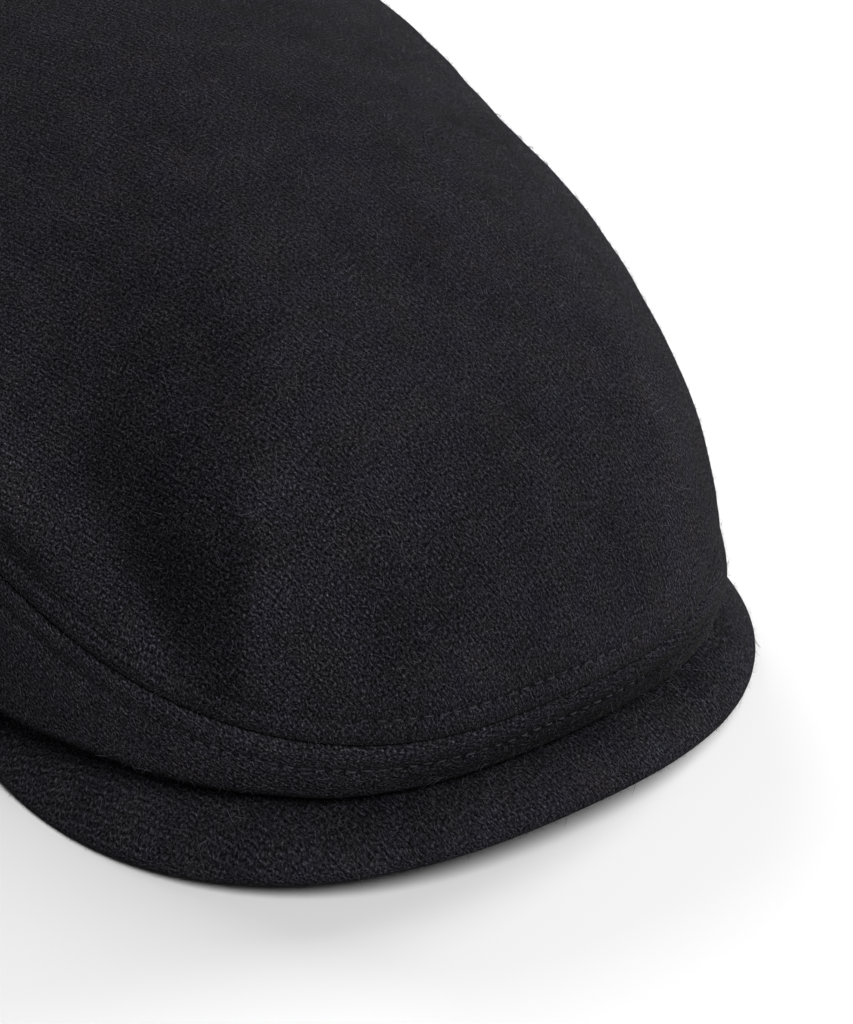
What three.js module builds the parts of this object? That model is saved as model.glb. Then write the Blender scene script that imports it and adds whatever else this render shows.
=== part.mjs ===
// A flat hunting cap in black wool cloth: a top panel, a side band and a stiff peak.
// Millimetres, +Z up. The cap stands on z = 0 and its peak points to -Y.
import * as THREE from 'three';
import { mergeVertices } from 'three/addons/utils/BufferGeometryUtils.js';

// Head opening
const headLength = 201;
const headWidth = 160;
const openingFrontHeight = 28; // the head opening slopes down from here to the floor at the back
const openingSquareness = 2.3; // at the front: 2 is an ellipse, more is squarer

// How far the cloth stands out over the head opening
const wideLineY = 28.5; // the cap is widest this far behind the middle of the head
const seamOverSide = 10;
const seamOverFront = 40.5;
const seamOverBack = 16;
const rollOverSide = 17.6;
const rollOverFront = 38.6;
const rollOverBack = 13;
const frontSquareness = 2.85;
const backSquareness = 2.2;

// Heights
const crownHeight = 134.5;
const seamHeight = 70; // at the back, where the band is tallest

// Cloth and clearances
const clothThickness = 2;
const rollRadius = 3.2; // outside, of the rolled lower edge of the band
const bellySwell = 1.6; // how far the band swells between the roll and the seam
const seamGap = 0.3; // between the top panel's edge and the band's
const floorPress = 0.6; // how far the cloth is pressed flat where the cap rests
const peakGap = 0.35; // between the peak and the cloth that lies on it

// Peak
const peakReach = 50; // in front of the head opening
const peakOverSide = 13; // beyond the side of the head opening
const peakWideLineY = -59;
const peakHornLength = 64; // of the curve that its horns follow back from its widest line
const peakSquareness = 2.25;
const peakThickness = 5;
const peakRootBearing = 56; // where its root ends, on either side
const peakEdgeHeight = 11.7; // middle of its edge over the floor, straight ahead

// Heights round the cap from the front (0) to the back (180), as shares: the seam's of seamHeight,
// and the roll's of openingFrontHeight
const rounds = [
  { angle: 0, seam: 0.49, roll: 0.72 },
  { angle: 30, seam: 0.56, roll: 0.76 },
  { angle: 60, seam: 0.84, roll: 0.55 },
  { angle: 90, seam: 0.92, roll: 0.38 },
  { angle: 135, seam: 0.96, roll: 0.12 },
  { angle: 180, seam: 1, roll: 0 },
];

// The peak's edge from straight ahead (0) round to the end of a horn: height is a share of
// peakEdgeHeight, and free the share of the way from its root where it leaves the cloth above it
const peakEdges = [
  { angle: 0, height: 1, free: 0.7 },
  { angle: 45, height: 0.53, free: 0.55 },
  { angle: 75, height: 0.19, free: 0.3 },
  { angle: 90, height: 0.22, free: 0.25 },
  { angle: 106, height: 0.75, free: 0.2 },
  { angle: 122, height: 1.15, free: 0.2 },
];

// The crown's rise from the seam: it leans out by lean degrees and climbs by rise, a share of the
// height left above the seam, before it turns in to the flat top, which reaches out by reach, a
// share of the seam's distance from the middle.
const crownRises = [
  { angle: 0, lean: 4.5, rise: 0.39, reach: 0.56 },
  { angle: 90, lean: 8, rise: 0.64, reach: 0.57 },
  { angle: 180, lean: 11.5, rise: 0.62, reach: 0.62 },
];

// Dents in the crown, and swells where deep is negative: at is the bearing of the middle, up its
// place from the seam (0) to the top (1), turn its lean from upright in degrees; long, wide and
// deep are shares of crownHeight.
const dents = [
  { at: -42, up: 0.06, turn: 90, long: 0.17, wide: 0.04, deep: 0.032 },
  { at: -10, up: 0.2, turn: 25, long: 0.16, wide: 0.09, deep: 0.012 },
  { at: 21, up: 0.16, turn: 0, long: 0.12, wide: 0.1, deep: 0.009 },
  { at: 62, up: 0.3, turn: -20, long: 0.3, wide: 0.14, deep: 0.02 },
  { at: 128, up: 0.34, turn: 18, long: 0.3, wide: 0.15, deep: 0.022 },
  { at: -112, up: 0.33, turn: 12, long: 0.32, wide: 0.14, deep: 0.022 },
  { at: 176, up: 0.5, turn: 80, long: 0.3, wide: 0.12, deep: 0.016 },
];

// The main fold, at the left of the front, by height: the bearings of its crest and of the valley
// beside it, how deep the valley is and how far the crest stands out. All but the bearings are
// shares of crownHeight.
const frontFold = [
  { height: 0.268, crest: -24.3, valley: -27.5, deep: 0, crestRise: 0 },
  { height: 0.312, crest: -24.3, valley: -28.3, deep: 0.015, crestRise: 0.0045 },
  { height: 0.372, crest: -24.3, valley: -30.2, deep: 0.0387, crestRise: 0.0104 },
  { height: 0.431, crest: -24, valley: -31.8, deep: 0.0565, crestRise: 0.0141 },
  { height: 0.491, crest: -23.4, valley: -33.4, deep: 0.0654, crestRise: 0.0156 },
  { height: 0.565, crest: -22.5, valley: -35.8, deep: 0.0654, crestRise: 0.0149 },
  { height: 0.639, crest: -21.6, valley: -38.4, deep: 0.0506, crestRise: 0.0104 },
  { height: 0.721, crest: -20.6, valley: -40, deep: 0.0297, crestRise: 0.0059 },
  { height: 0.818, crest: -19.6, valley: -41, deep: 0.0112, crestRise: 0.0022 },
  { height: 0.907, crest: -18.8, valley: -41, deep: 0, crestRise: 0 },
];
const foldFallPower = 0.8; // below 1 the flank is steeper at its crest
const foldFarSide = 1.3; // widths of the flank over which the valley rises again
const crestSpread = 13; // how far the crest's rise runs on to the right
const foldFrom = 11; // along the cloth from the seam, where the fold has its full depth

// Mesh steps
const bearingSteps = 72;
const frontCrowding = 18; // degrees by which the steps are drawn together towards the front
const crownSteps = 14;
const dentFadeSteps = 2; // steps over which the dents fade out towards the seam
const panelSteps = 6;
const rollSteps = 4;
const tuckSteps = 5;
const peakAcrossSteps = 40;
const peakDepthSteps = 7;
const peakEdgeSteps = 5;

const degrees = Math.PI / 180;

// Smooth value of a table's column at an angle to either side, level at the table's ends
function across(rows, column, angle) {
  const at = Math.min(Math.abs(angle), rows[rows.length - 1].angle);
  const slope = (i) => (i === 0 || i === rows.length - 1 ? 0
    : (rows[i + 1][column] - rows[i - 1][column]) / (rows[i + 1].angle - rows[i - 1].angle));
  let i = 0;
  while (i < rows.length - 2 && at > rows[i + 1].angle) i += 1;
  const step = rows[i + 1].angle - rows[i].angle;
  const t = (at - rows[i].angle) / step;
  const h = t * t * (3 - 2 * t);
  return rows[i][column] * (1 - h) + rows[i + 1][column] * h
    + step * slope(i) * t * (1 - t) ** 2 - step * slope(i + 1) * t * t * (1 - t);
}

// Distance of a rounded outline from the wide line's middle, at a bearing from straight ahead
function outline(halfWidth, front, back, frontPower, bearing) {
  const side = Math.abs(Math.sin(bearing * degrees)) / halfWidth;
  const ahead = Math.cos(bearing * degrees);
  const power = ahead > 0 ? frontPower : backSquareness;
  const along = Math.abs(ahead) / (ahead > 0 ? front : back);
  return (side ** power + along ** power) ** (-1 / power);
}

const headFront = headLength / 2 + wideLineY;
const headBack = headLength / 2 - wideLineY;

function openingRadius(bearing) {
  return outline(headWidth / 2, headFront, headBack, openingSquareness, bearing);
}

function rollRadiusOut(bearing) {
  return outline(headWidth / 2 + rollOverSide, headFront + rollOverFront,
    headBack + rollOverBack, frontSquareness, bearing);
}

function seamRadius(bearing) {
  return outline(headWidth / 2 + seamOverSide, headFront + seamOverFront,
    headBack + seamOverBack, frontSquareness, bearing);
}

// The head opening lies in one sloping plane
function openingHeight(bearing) {
  const y = wideLineY - openingRadius(bearing) * Math.cos(bearing * degrees);
  return openingFrontHeight * (headLength / 2 - y) / headLength;
}

// One section's outer line, from the head opening round the roll and up to the seam, as (r, z)
function bandLine(bearing) {
  const out = rollRadiusOut(bearing);
  const low = openingFrontHeight * across(rounds, 'roll', bearing);
  const rim = new THREE.Vector2(openingRadius(bearing), openingHeight(bearing));
  const rollMiddle = new THREE.Vector2(out - rollRadius, low + rollRadius);
  const seam = new THREE.Vector2(seamRadius(bearing), seamHeight * across(rounds, 'seam', bearing));
  const tuckSlope = Math.atan2(rim.y - low, rollMiddle.x - rim.x);
  const line = [];
  const rollStart = -Math.PI / 2 - tuckSlope;
  for (let i = 0; i <= rollSteps; i += 1) {
    const turn = rollStart * (1 - i / rollSteps);
    line.push(new THREE.Vector2(rollMiddle.x + rollRadius * Math.cos(turn),
      rollMiddle.y + rollRadius * Math.sin(turn)));
  }
  const tuck = [];
  for (let i = 0; i < tuckSteps; i += 1) tuck.push(rim.clone().lerp(line[0], i / tuckSteps));
  const side = line[line.length - 1];
  const swell = new THREE.Vector2((side.x + seam.x) / 2 + bellySwell, (side.y + seam.y) / 2);
  const panel = new THREE.QuadraticBezierCurve(side, swell, seam);
  return [...tuck, ...line, ...panel.getPoints(panelSteps).slice(1)];
}

// One section's outer curve from the seam to the middle of the top, as (r, z)
function crownCurve(bearing) {
  const r = seamRadius(bearing);
  const z = seamHeight * across(rounds, 'seam', bearing);
  const lean = across(crownRises, 'lean', bearing) * degrees;
  const climb = across(crownRises, 'rise', bearing) * (crownHeight - z);
  return new THREE.CubicBezierCurve(
    new THREE.Vector2(r, z),
    new THREE.Vector2(r + climb * Math.sin(lean), z + climb * Math.cos(lean)),
    new THREE.Vector2(r * across(crownRises, 'reach', bearing), crownHeight),
    new THREE.Vector2(0, crownHeight),
  );
}

// How deep the dents are at a place on the crown, whose line up to the top has this length
function dentDepth(bearing, up, r, lineLength) {
  let depth = 0;
  for (const dent of dents) {
    const apart = THREE.MathUtils.euclideanModulo(bearing - dent.at + 180, 360) - 180;
    const sideways = apart * degrees * r;
    const upwards = (up - dent.up) * lineLength;
    const turn = dent.turn * degrees;
    const u = (sideways * Math.cos(turn) - upwards * Math.sin(turn)) / (dent.wide * crownHeight);
    const v = (sideways * Math.sin(turn) + upwards * Math.cos(turn)) / (dent.long * crownHeight);
    depth += dent.deep * crownHeight * Math.exp(-u * u - v * v);
  }
  return depth;
}

// Value of a table's column at a height, in straight lines between its rows
function atHeight(rows, column, height) {
  const at = THREE.MathUtils.clamp(height, rows[0].height, rows[rows.length - 1].height);
  let i = 0;
  while (i < rows.length - 2 && at > rows[i + 1].height) i += 1;
  const t = (at - rows[i].height) / (rows[i + 1].height - rows[i].height);
  return rows[i][column] * (1 - t) + rows[i + 1][column] * t;
}

// How deep the main fold is at a place on the crown this far along the cloth from the seam
function foldDepth(bearing, r, z, fromSeam) {
  const [crest, valley, deep, crestRise] = ['crest', 'valley', 'deep', 'crestRise']
    .map((column) => atHeight(frontFold, column, z / crownHeight));
  const fade = Math.min(1, fromSeam / foldFrom) ** 2;
  const rise = crestRise * crownHeight * fade;
  if (bearing >= crest) {
    return -rise * Math.exp(-(((bearing - crest) * degrees * r / crestSpread) ** 1.2));
  }
  const depth = deep * crownHeight * fade;
  const across = (crest - bearing) / (crest - valley);
  if (across < 1) {
    return (depth + rise) * (1 - Math.cos(Math.PI * across ** foldFallPower)) / 2 - rise;
  }
  const back = Math.min(1, (across - 1) / foldFarSide);
  return depth * (1 - back * back * (3 - 2 * back));
}

// Unit normals of a line in (r, z), to the right of its direction
function lineNormals(line) {
  return line.map((point, i) => {
    const before = line[Math.max(i - 1, 0)];
    const after = line[Math.min(i + 1, line.length - 1)];
    const along = after.clone().sub(before).normalize();
    return new THREE.Vector2(along.y, -along.x);
  });
}

// A closed section: the outer line, then the same line set in by the wall
function wallSection(line, normals, wall) {
  const inner = line.map((point, i) => point.clone().addScaledVector(normals[i], -wall));
  return [...line, ...inner.reverse()];
}

// Pressed on to the floor
function pressed(point) {
  return point.setZ(Math.max(point.z - floorPress, 0));
}

// A section's points in space, at a bearing
function place(section, bearing) {
  const turn = bearing * degrees;
  return section.map((point) => pressed(new THREE.Vector3(
    point.x * Math.sin(turn),
    wideLineY - point.x * Math.cos(turn),
    point.y,
  )));
}

// A closed surface through closed sections, joined into a ring or capped at both ends
function skin(sections, ring) {
  const count = sections[0].length;
  const positions = sections.flat().flatMap((point) => [point.x, point.y, point.z]);
  const index = [];
  const last = ring ? sections.length : sections.length - 1;
  const corner = (i, j) => (i % sections.length) * count + (j % count);
  for (let i = 0; i < last; i += 1) {
    for (let j = 0; j < count; j += 1) {
      index.push(corner(i, j), corner(i + 1, j), corner(i + 1, j + 1));
      index.push(corner(i, j), corner(i + 1, j + 1), corner(i, j + 1));
    }
  }
  if (!ring) {
    for (let j = 0; j < count / 2 - 1; j += 1) {
      const k = count - 1 - j;
      index.push(corner(0, j), corner(0, j + 1), corner(0, k - 1));
      index.push(corner(0, j), corner(0, k - 1), corner(0, k));
      index.push(corner(last, j), corner(last, k - 1), corner(last, j + 1));
      index.push(corner(last, j), corner(last, k), corner(last, k - 1));
    }
  }
  const geometry = new THREE.BufferGeometry();
  geometry.setAttribute('position', new THREE.Float32BufferAttribute(positions, 3));
  geometry.setIndex(index);
  return withoutSlivers(mergeVertices(geometry, 1e-4));
}

// Faces that a pole has closed up are left out
function withoutSlivers(geometry) {
  const index = geometry.getIndex().array;
  const kept = [];
  for (let i = 0; i < index.length; i += 3) {
    const [a, b, c] = index.slice(i, i + 3);
    if (a !== b && b !== c && c !== a) kept.push(a, b, c);
  }
  geometry.setIndex(kept);
  geometry.computeVertexNormals();
  return geometry;
}

// Bearings round the cap from its back, closer together ahead, where the cap is widest
function bearings(steps) {
  return Array.from({ length: steps }, (unused, i) => {
    const share = 2 * i / steps - 1;
    return 180 * share - frontCrowding * Math.sin(Math.PI * share);
  });
}

function sideBand() {
  return skin(bearings(bearingSteps).map((bearing) => {
    const line = bandLine(bearing);
    const normals = lineNormals(line);
    return place(wallSection(line, normals, clothThickness), bearing);
  }), true);
}

function crownTop() {
  return skin(bearings(bearingSteps).map((bearing) => {
    const curve = crownCurve(bearing);
    const line = curve.getPoints(crownSteps);
    const normals = lineNormals(line);
    const lengths = curve.getLengths(crownSteps);
    normals[crownSteps].set(0, 1);
    line.forEach((point, i) => {
      if (i === crownSteps) return;
      const depth = dentDepth(bearing, i / crownSteps, point.x, curve.getLength())
        * Math.min(1, i / dentFadeSteps) + foldDepth(bearing, point.x, point.y, lengths[i]);
      point.addScaledVector(normals[i], -depth);
    });
    line[0].addScaledVector(curve.getTangent(0), seamGap);
    return place(wallSection(line, normals, clothThickness), bearing);
  }), true);
}

// Plan place of the middle of the peak's edge, by an angle about the peak's own widest line
function peakEdge(angle) {
  const width = headWidth / 2 + peakOverSide - peakThickness / 2;
  const front = headLength / 2 + peakReach + peakWideLineY - peakThickness / 2;
  const ahead = Math.cos(angle * degrees);
  const power = 2 / peakSquareness;
  return new THREE.Vector2(
    Math.sign(angle) * width * Math.abs(Math.sin(angle * degrees)) ** power,
    peakWideLineY - Math.sign(ahead) * (ahead > 0 ? front : peakHornLength)
      * Math.abs(ahead) ** power,
  );
}

// A point of the peak's middle layer, at a share of the way from its sewn root to its edge. It
// follows the underside of the cloth that lies on it, and then bends down to its edge.
function peakMiddle(angle, share) {
  const hornEnd = peakEdges[peakEdges.length - 1].angle;
  const rootBearing = peakRootBearing * angle / hornEnd;
  const root = new THREE.Vector2(Math.sin(rootBearing * degrees), -Math.cos(rootBearing * degrees))
    .multiplyScalar(openingRadius(rootBearing)).add(new THREE.Vector2(0, wideLineY));
  const edge = peakEdge(angle);
  const plan = root.clone().lerp(edge, share);
  const free = across(peakEdges, 'free', angle);
  const bend = Math.max(0, (share - free) / (1 - free)) ** 2;
  const drop = underCloth(edge) - peakEdgeHeight * across(peakEdges, 'height', angle);
  return new THREE.Vector3(plan.x, plan.y, underCloth(plan) - drop * bend);
}

// Height of the peak's middle layer where it lies against the tucked cloth, or would if that went on
function underCloth(plan) {
  const bearing = Math.atan2(plan.x, wideLineY - plan.y) / degrees;
  const r = Math.hypot(plan.x, wideLineY - plan.y);
  const line = bandLine(bearing);
  const rim = line[0];
  const tuckEnd = line[tuckSteps];
  const slope = (tuckEnd.y - rim.y) / (tuckEnd.x - rim.x);
  const under = peakGap + (peakThickness / 2) * Math.hypot(1, slope);
  return rim.y + slope * (r - rim.x) - under;
}

// One section of the peak: its underside, its round edge and its top
function peakSection(angle) {
  const half = peakThickness / 2;
  const nudge = 0.01;
  const under = [];
  const top = [];
  let outward;
  let up;
  for (let i = 0; i <= peakDepthSteps; i += 1) {
    const share = i / peakDepthSteps;
    const middle = peakMiddle(angle, share);
    outward = peakMiddle(angle, share + nudge).sub(peakMiddle(angle, share - nudge)).normalize();
    const sideways = peakMiddle(angle + 1, share).sub(peakMiddle(angle - 1, share)).normalize();
    up = outward.clone().cross(sideways).normalize();
    under.push(middle.clone().addScaledVector(up, -half));
    top.unshift(middle.clone().addScaledVector(up, half));
  }
  const edge = [];
  const lip = peakMiddle(angle, 1);
  for (let i = 1; i < peakEdgeSteps; i += 1) {
    const turn = Math.PI * (i / peakEdgeSteps - 0.5);
    edge.push(lip.clone().addScaledVector(outward, half * Math.cos(turn))
      .addScaledVector(up, half * Math.sin(turn)));
  }
  return [...under, ...edge, ...top].map(pressed);
}

function peak() {
  const hornEnd = peakEdges[peakEdges.length - 1].angle;
  const sections = [];
  for (let i = 0; i <= peakAcrossSteps; i += 1) {
    sections.push(peakSection(hornEnd * (2 * i / peakAcrossSteps - 1)));
  }
  return skin(sections, false);
}

const cap = new THREE.Group();

function addPiece(name, geometry, color) {
  const melton = new THREE.MeshStandardMaterial({ color, roughness: 0.95, metalness: 0 });
  const piece = new THREE.Mesh(geometry, melton);
  piece.name = name;
  cap.add(piece);
}

addPiece('crown_top', crownTop(), 0x212125);
addPiece('side_band', sideBand(), 0x202024);
addPiece('peak', peak(), 0x1e1e21);

// The origin is on the floor, below the middle of the cap's length
const box = new THREE.Box3().setFromObject(cap);
cap.position.y = -(box.min.y + box.max.y) / 2;

export default cap;
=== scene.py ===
# Looks of a flat hunting cap in black wool melton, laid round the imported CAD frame.
# Shapes are worked out in millimetres from the cap's own middle and placed in metres, +Z up.
import bpy
import math
import numpy as np
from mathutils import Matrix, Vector


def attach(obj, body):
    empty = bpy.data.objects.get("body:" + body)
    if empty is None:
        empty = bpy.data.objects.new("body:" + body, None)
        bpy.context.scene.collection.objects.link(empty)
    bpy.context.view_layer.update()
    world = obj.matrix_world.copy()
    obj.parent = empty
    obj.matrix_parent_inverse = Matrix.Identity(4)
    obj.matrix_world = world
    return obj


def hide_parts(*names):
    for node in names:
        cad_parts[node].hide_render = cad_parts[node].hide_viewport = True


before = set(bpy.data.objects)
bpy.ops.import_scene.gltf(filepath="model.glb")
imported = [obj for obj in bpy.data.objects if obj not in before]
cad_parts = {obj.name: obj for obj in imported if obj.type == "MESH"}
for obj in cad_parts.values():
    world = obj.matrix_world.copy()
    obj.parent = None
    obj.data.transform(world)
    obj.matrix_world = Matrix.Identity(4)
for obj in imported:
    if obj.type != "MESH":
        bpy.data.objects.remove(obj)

scene = bpy.context.scene
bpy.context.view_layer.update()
bpy.ops.object.select_all(action="DESELECT")
mm = 0.001
insideCap = (0, 0.03, 0.04)
print("frame loaded")

# The cap's shape, as the solids have it

cap = {
    "shiftY": 16.483,         # from the middle of the head to the middle of the cap's length
    "headLength": 201, "headWidth": 160,
    "openingFrontHeight": 28, "openingSquareness": 2.3,
    "wideLineY": 28.5,
    "seamOverSide": 10, "seamOverFront": 40.5, "seamOverBack": 16,
    "rollOverSide": 17.6, "rollOverFront": 38.6, "rollOverBack": 13,
    "frontSquareness": 2.85, "backSquareness": 2.2,
    "crownHeight": 134.5, "seamHeight": 70,
    "cloth": 2, "rollRadius": 3.2, "bellySwell": 1.6,
    "floorPress": 0.6, "seamBlend": 3,
    "columns": 360, "frontCrowding": 18,     # degrees by which the columns draw together ahead
}

# Heights round the cap: the seam's share of seamHeight and the roll's of openingFrontHeight
rounds = {
    "angle": (0, 30, 60, 90, 135, 180),
    "seam": (0.49, 0.56, 0.84, 0.92, 0.96, 1),
    "roll": (0.72, 0.76, 0.55, 0.38, 0.12, 0),
}
crownRises = {
    "angle": (0, 90, 180),
    "lean": (4.5, 8, 11.5),
    "rise": (0.39, 0.64, 0.62),
    "reach": (0.56, 0.57, 0.62),
}


def across(rows, column, angle):
    # smooth value of a table's column at an angle to either side, level at its ends
    angles, values = rows["angle"], rows[column]
    last = len(angles) - 1
    at = min(abs(angle), angles[last])

    def slope(i):
        return 0 if i in (0, last) else (values[i + 1] - values[i - 1]) / (angles[i + 1] - angles[i - 1])

    i = 0
    while i < last - 1 and at > angles[i + 1]:
        i += 1
    step = angles[i + 1] - angles[i]
    t = (at - angles[i]) / step
    h = t * t * (3 - 2 * t)
    return (values[i] * (1 - h) + values[i + 1] * h
            + step * slope(i) * t * (1 - t) ** 2 - step * slope(i + 1) * t * t * (1 - t))


def outline(halfWidth, front, back, frontPower, bearing):
    side = abs(math.sin(math.radians(bearing))) / halfWidth
    ahead = math.cos(math.radians(bearing))
    power = frontPower if ahead > 0 else cap["backSquareness"]
    along = abs(ahead) / (front if ahead > 0 else back)
    return (side ** power + along ** power) ** (-1 / power)


headFront = cap["headLength"] / 2 + cap["wideLineY"]
headBack = cap["headLength"] / 2 - cap["wideLineY"]


def openingRadius(bearing):
    return outline(cap["headWidth"] / 2, headFront, headBack, cap["openingSquareness"], bearing)


def rollRadiusOut(bearing):
    return outline(cap["headWidth"] / 2 + cap["rollOverSide"], headFront + cap["rollOverFront"],
                   headBack + cap["rollOverBack"], cap["frontSquareness"], bearing)


def seamRadius(bearing):
    return outline(cap["headWidth"] / 2 + cap["seamOverSide"], headFront + cap["seamOverFront"],
                   headBack + cap["seamOverBack"], cap["frontSquareness"], bearing)


def seamUp(bearing):
    return cap["seamHeight"] * across(rounds, "seam", bearing)


def seamOutward(bearing):
    # square to the cloth at the seam, midway between the crown's lean and the band's
    lean = math.radians(across(crownRises, "lean", bearing))
    roll = cap["openingFrontHeight"] * across(rounds, "roll", bearing) + cap["rollRadius"]
    panel = np.array([(seamRadius(bearing) - rollRadiusOut(bearing)) / 2 - cap["bellySwell"],
                      (seamUp(bearing) - roll) / 2])
    along = np.array([math.sin(lean), math.cos(lean)]) + panel / np.linalg.norm(panel)
    along /= np.linalg.norm(along)
    return np.array([along[1], -along[0]])


def closedAtSeam(outward, bearing, fromSeam):
    # the edges of crown and band are set in the same way at the seam, so that they meet
    share = np.clip(1 - fromSeam / cap["seamBlend"], 0, 1)[:, None]
    outward = outward * (1 - share) + seamOutward(bearing) * share
    return outward / np.maximum(np.linalg.norm(outward, axis=1), 1e-9)[:, None]


def openingUp(bearing):
    y = cap["wideLineY"] - openingRadius(bearing) * math.cos(math.radians(bearing))
    return cap["openingFrontHeight"] * (cap["headLength"] / 2 - y) / cap["headLength"]


def inRow(r, z, bearing):
    # points of a section, in millimetres, to places in the row frame, in metres
    turn = math.radians(bearing)
    return np.stack([r * math.sin(turn), cap["wideLineY"] - r * math.cos(turn) + cap["shiftY"],
                     np.maximum(z - cap["floorPress"], 0)], -1) * mm


def bearingAt(share):
    # -1 to 1 round the cap from back to back, with more columns ahead, where the cap is widest
    return 180 * share - cap["frontCrowding"] * math.sin(math.pi * share)


def bump(distance, middle, width):
    return np.exp(-((distance - middle) / width) ** 2)


def alongLine(points):
    steps = np.hypot(*np.diff(points, axis=0).T)
    return np.concatenate([[0], np.cumsum(steps)])


def lineNormals(points):
    # to the right of the line's direction
    along = np.gradient(points, axis=0)
    along /= np.maximum(np.hypot(along[:, 0], along[:, 1]), 1e-9)[:, None]
    return np.stack([along[:, 1], -along[:, 0]], -1)


def resample(points, lengths, at):
    return np.stack([np.interp(at, lengths, points[:, 0]), np.interp(at, lengths, points[:, 1])], -1)


def unevenness(seed, u, v, shortest, longest, count=14):
    # smooth seeded waves over a flat cloth, about -1 to 1
    picks = np.random.default_rng(seed)
    total = np.zeros(np.broadcast(u, v).shape)
    for _ in range(count):
        turn, length = picks.uniform(0, math.pi), picks.uniform(shortest, longest)
        phase = picks.uniform(0, 2 * math.pi)
        total += np.sin((u * math.cos(turn) + v * math.sin(turn)) * 2 * math.pi / length + phase)
    return total / math.sqrt(count)


# Length along the seam from the front, in millimetres
seamSteps = 1440
seamBearings = np.array([bearingAt(s) for s in np.linspace(-1, 1, seamSteps + 1)])
seamPlaces = np.array([inRow(np.array(seamRadius(b)), np.array(seamUp(b)), b) for b in seamBearings]) / mm
seamLengths = np.concatenate([[0], np.cumsum(np.linalg.norm(np.diff(seamPlaces, axis=0), axis=1))])
seamLengths -= seamLengths[seamSteps // 2]
seamAround = seamLengths[-1] - seamLengths[0]


def seamLength(bearing):
    return float(np.interp(bearing, seamBearings, seamLengths))


def seamBearing(length):
    return float(np.interp(length, seamLengths, seamBearings))


# Cloth pieces: a grid is added flat, and its points are then laid on the worked-out shape

def clothGrid(name, columns, rows, places, flats, edges, traits=None):
    # places, flats and edges hold a value for each grid point, row by row, and so do the traits: the tone,
    # mostly painted shade, how far the weave shows through the nap and how far a row of stitches does
    bpy.ops.mesh.primitive_grid_add(x_subdivisions=columns, y_subdivisions=rows, size=2)
    piece = bpy.context.object
    piece.name = name
    mesh = piece.data
    flatGrid = np.empty(len(mesh.vertices) * 3)
    mesh.vertices.foreach_get("co", flatGrid)
    flatGrid = flatGrid.reshape(-1, 3)
    column = np.rint((flatGrid[:, 0] + 1) / 2 * columns).astype(int)
    row = np.rint((flatGrid[:, 1] + 1) / 2 * rows).astype(int)
    mesh.vertices.foreach_set("co", places[row, column].ravel())
    corner = np.empty(len(mesh.loops), dtype=np.int32)
    mesh.loops.foreach_get("vertex_index", corner)
    mesh.uv_layers[0].name = "clothFlat"
    mesh.uv_layers.new(name="edgeFlat")
    for layer, values in (("clothFlat", flats), ("edgeFlat", edges)):
        mesh.uv_layers[layer].uv.foreach_set("vector", (values[row, column][corner] * mm).ravel())
    for trait in ("napTone", "weaveShows", "stitchShows"):
        values = traits[trait][row, column] if traits and trait in traits else np.ones(len(row))
        mesh.attributes.new(trait, "FLOAT", "POINT").data.foreach_set("value", values)
    mesh.update()
    return piece


def mergeDoubles(piece, gap=2e-6):
    bpy.ops.object.mode_set(mode="EDIT")
    bpy.ops.mesh.select_all(action="SELECT")
    bpy.ops.mesh.remove_doubles(threshold=gap)
    bpy.ops.object.mode_set(mode="OBJECT")


def turnOutwards(piece, middle):
    # an open cloth is turned so that its faces look away from a place inside the cap
    mesh = piece.data
    normals, centres = np.empty(len(mesh.polygons) * 3), np.empty(len(mesh.polygons) * 3)
    mesh.polygons.foreach_get("normal", normals)
    mesh.polygons.foreach_get("center", centres)
    if np.sum(normals.reshape(-1, 3) * (centres.reshape(-1, 3) - np.array(middle))) < 0:
        bpy.ops.object.mode_set(mode="EDIT")
        bpy.ops.mesh.select_all(action="SELECT")
        bpy.ops.mesh.flip_normals()
        bpy.ops.object.mode_set(mode="OBJECT")


def finishPiece(piece, material, node=None):
    piece.data.materials.clear()
    piece.data.materials.append(material)
    piece.data.polygons.foreach_set("use_smooth", [True] * len(piece.data.polygons))
    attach(piece, "root")
    if node:
        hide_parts(node)
    bpy.ops.object.select_all(action="DESELECT")


# Materials

def linear(hexColour):
    channels = [int(hexColour[i:i + 2], 16) / 255 for i in (1, 3, 5)]
    return [c / 12.92 if c <= 0.04045 else ((c + 0.055) / 1.055) ** 2.4 for c in channels] + [1]


def addNode(material, kind, inputs=None, **settings):
    node = material.node_tree.nodes.new(kind)
    for name, value in settings.items():
        setattr(node, name, value)
    for name, value in (inputs or {}).items():
        if isinstance(value, bpy.types.NodeSocket):
            material.node_tree.links.new(value, node.inputs[name])
        else:
            node.inputs[name].default_value = value
    return node


def calc(material, operation, *values):
    return addNode(material, "ShaderNodeMath", dict(enumerate(values)), operation=operation).outputs[0]


def vectorCalc(material, operation, *values):
    return addNode(material, "ShaderNodeVectorMath", dict(enumerate(values)), operation=operation).outputs[0]


def scaled(material, vector, share):
    inputs = {0: vector, "Scale": share}
    return addNode(material, "ShaderNodeVectorMath", inputs, operation="SCALE").outputs[0]


def mapped(material, value, fromRange, toRange, smooth=False):
    return addNode(material, "ShaderNodeMapRange", {
        "Value": value, "From Min": fromRange[0], "From Max": fromRange[1],
        "To Min": toRange[0], "To Max": toRange[1]},
        interpolation_type="SMOOTHSTEP" if smooth else "LINEAR").outputs[0]


def mixed(material, share, first, second):
    inputs = {"Factor": share, 6: first, 7: second}
    return addNode(material, "ShaderNodeMix", inputs, data_type="RGBA").outputs[2]


def clothNoise(material, place, scale, detail, roughness=0.5):
    return addNode(material, "ShaderNodeTexNoise", {
        "Vector": place, "Scale": scale, "Detail": detail, "Roughness": roughness}, noise_dimensions="2D")


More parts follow.
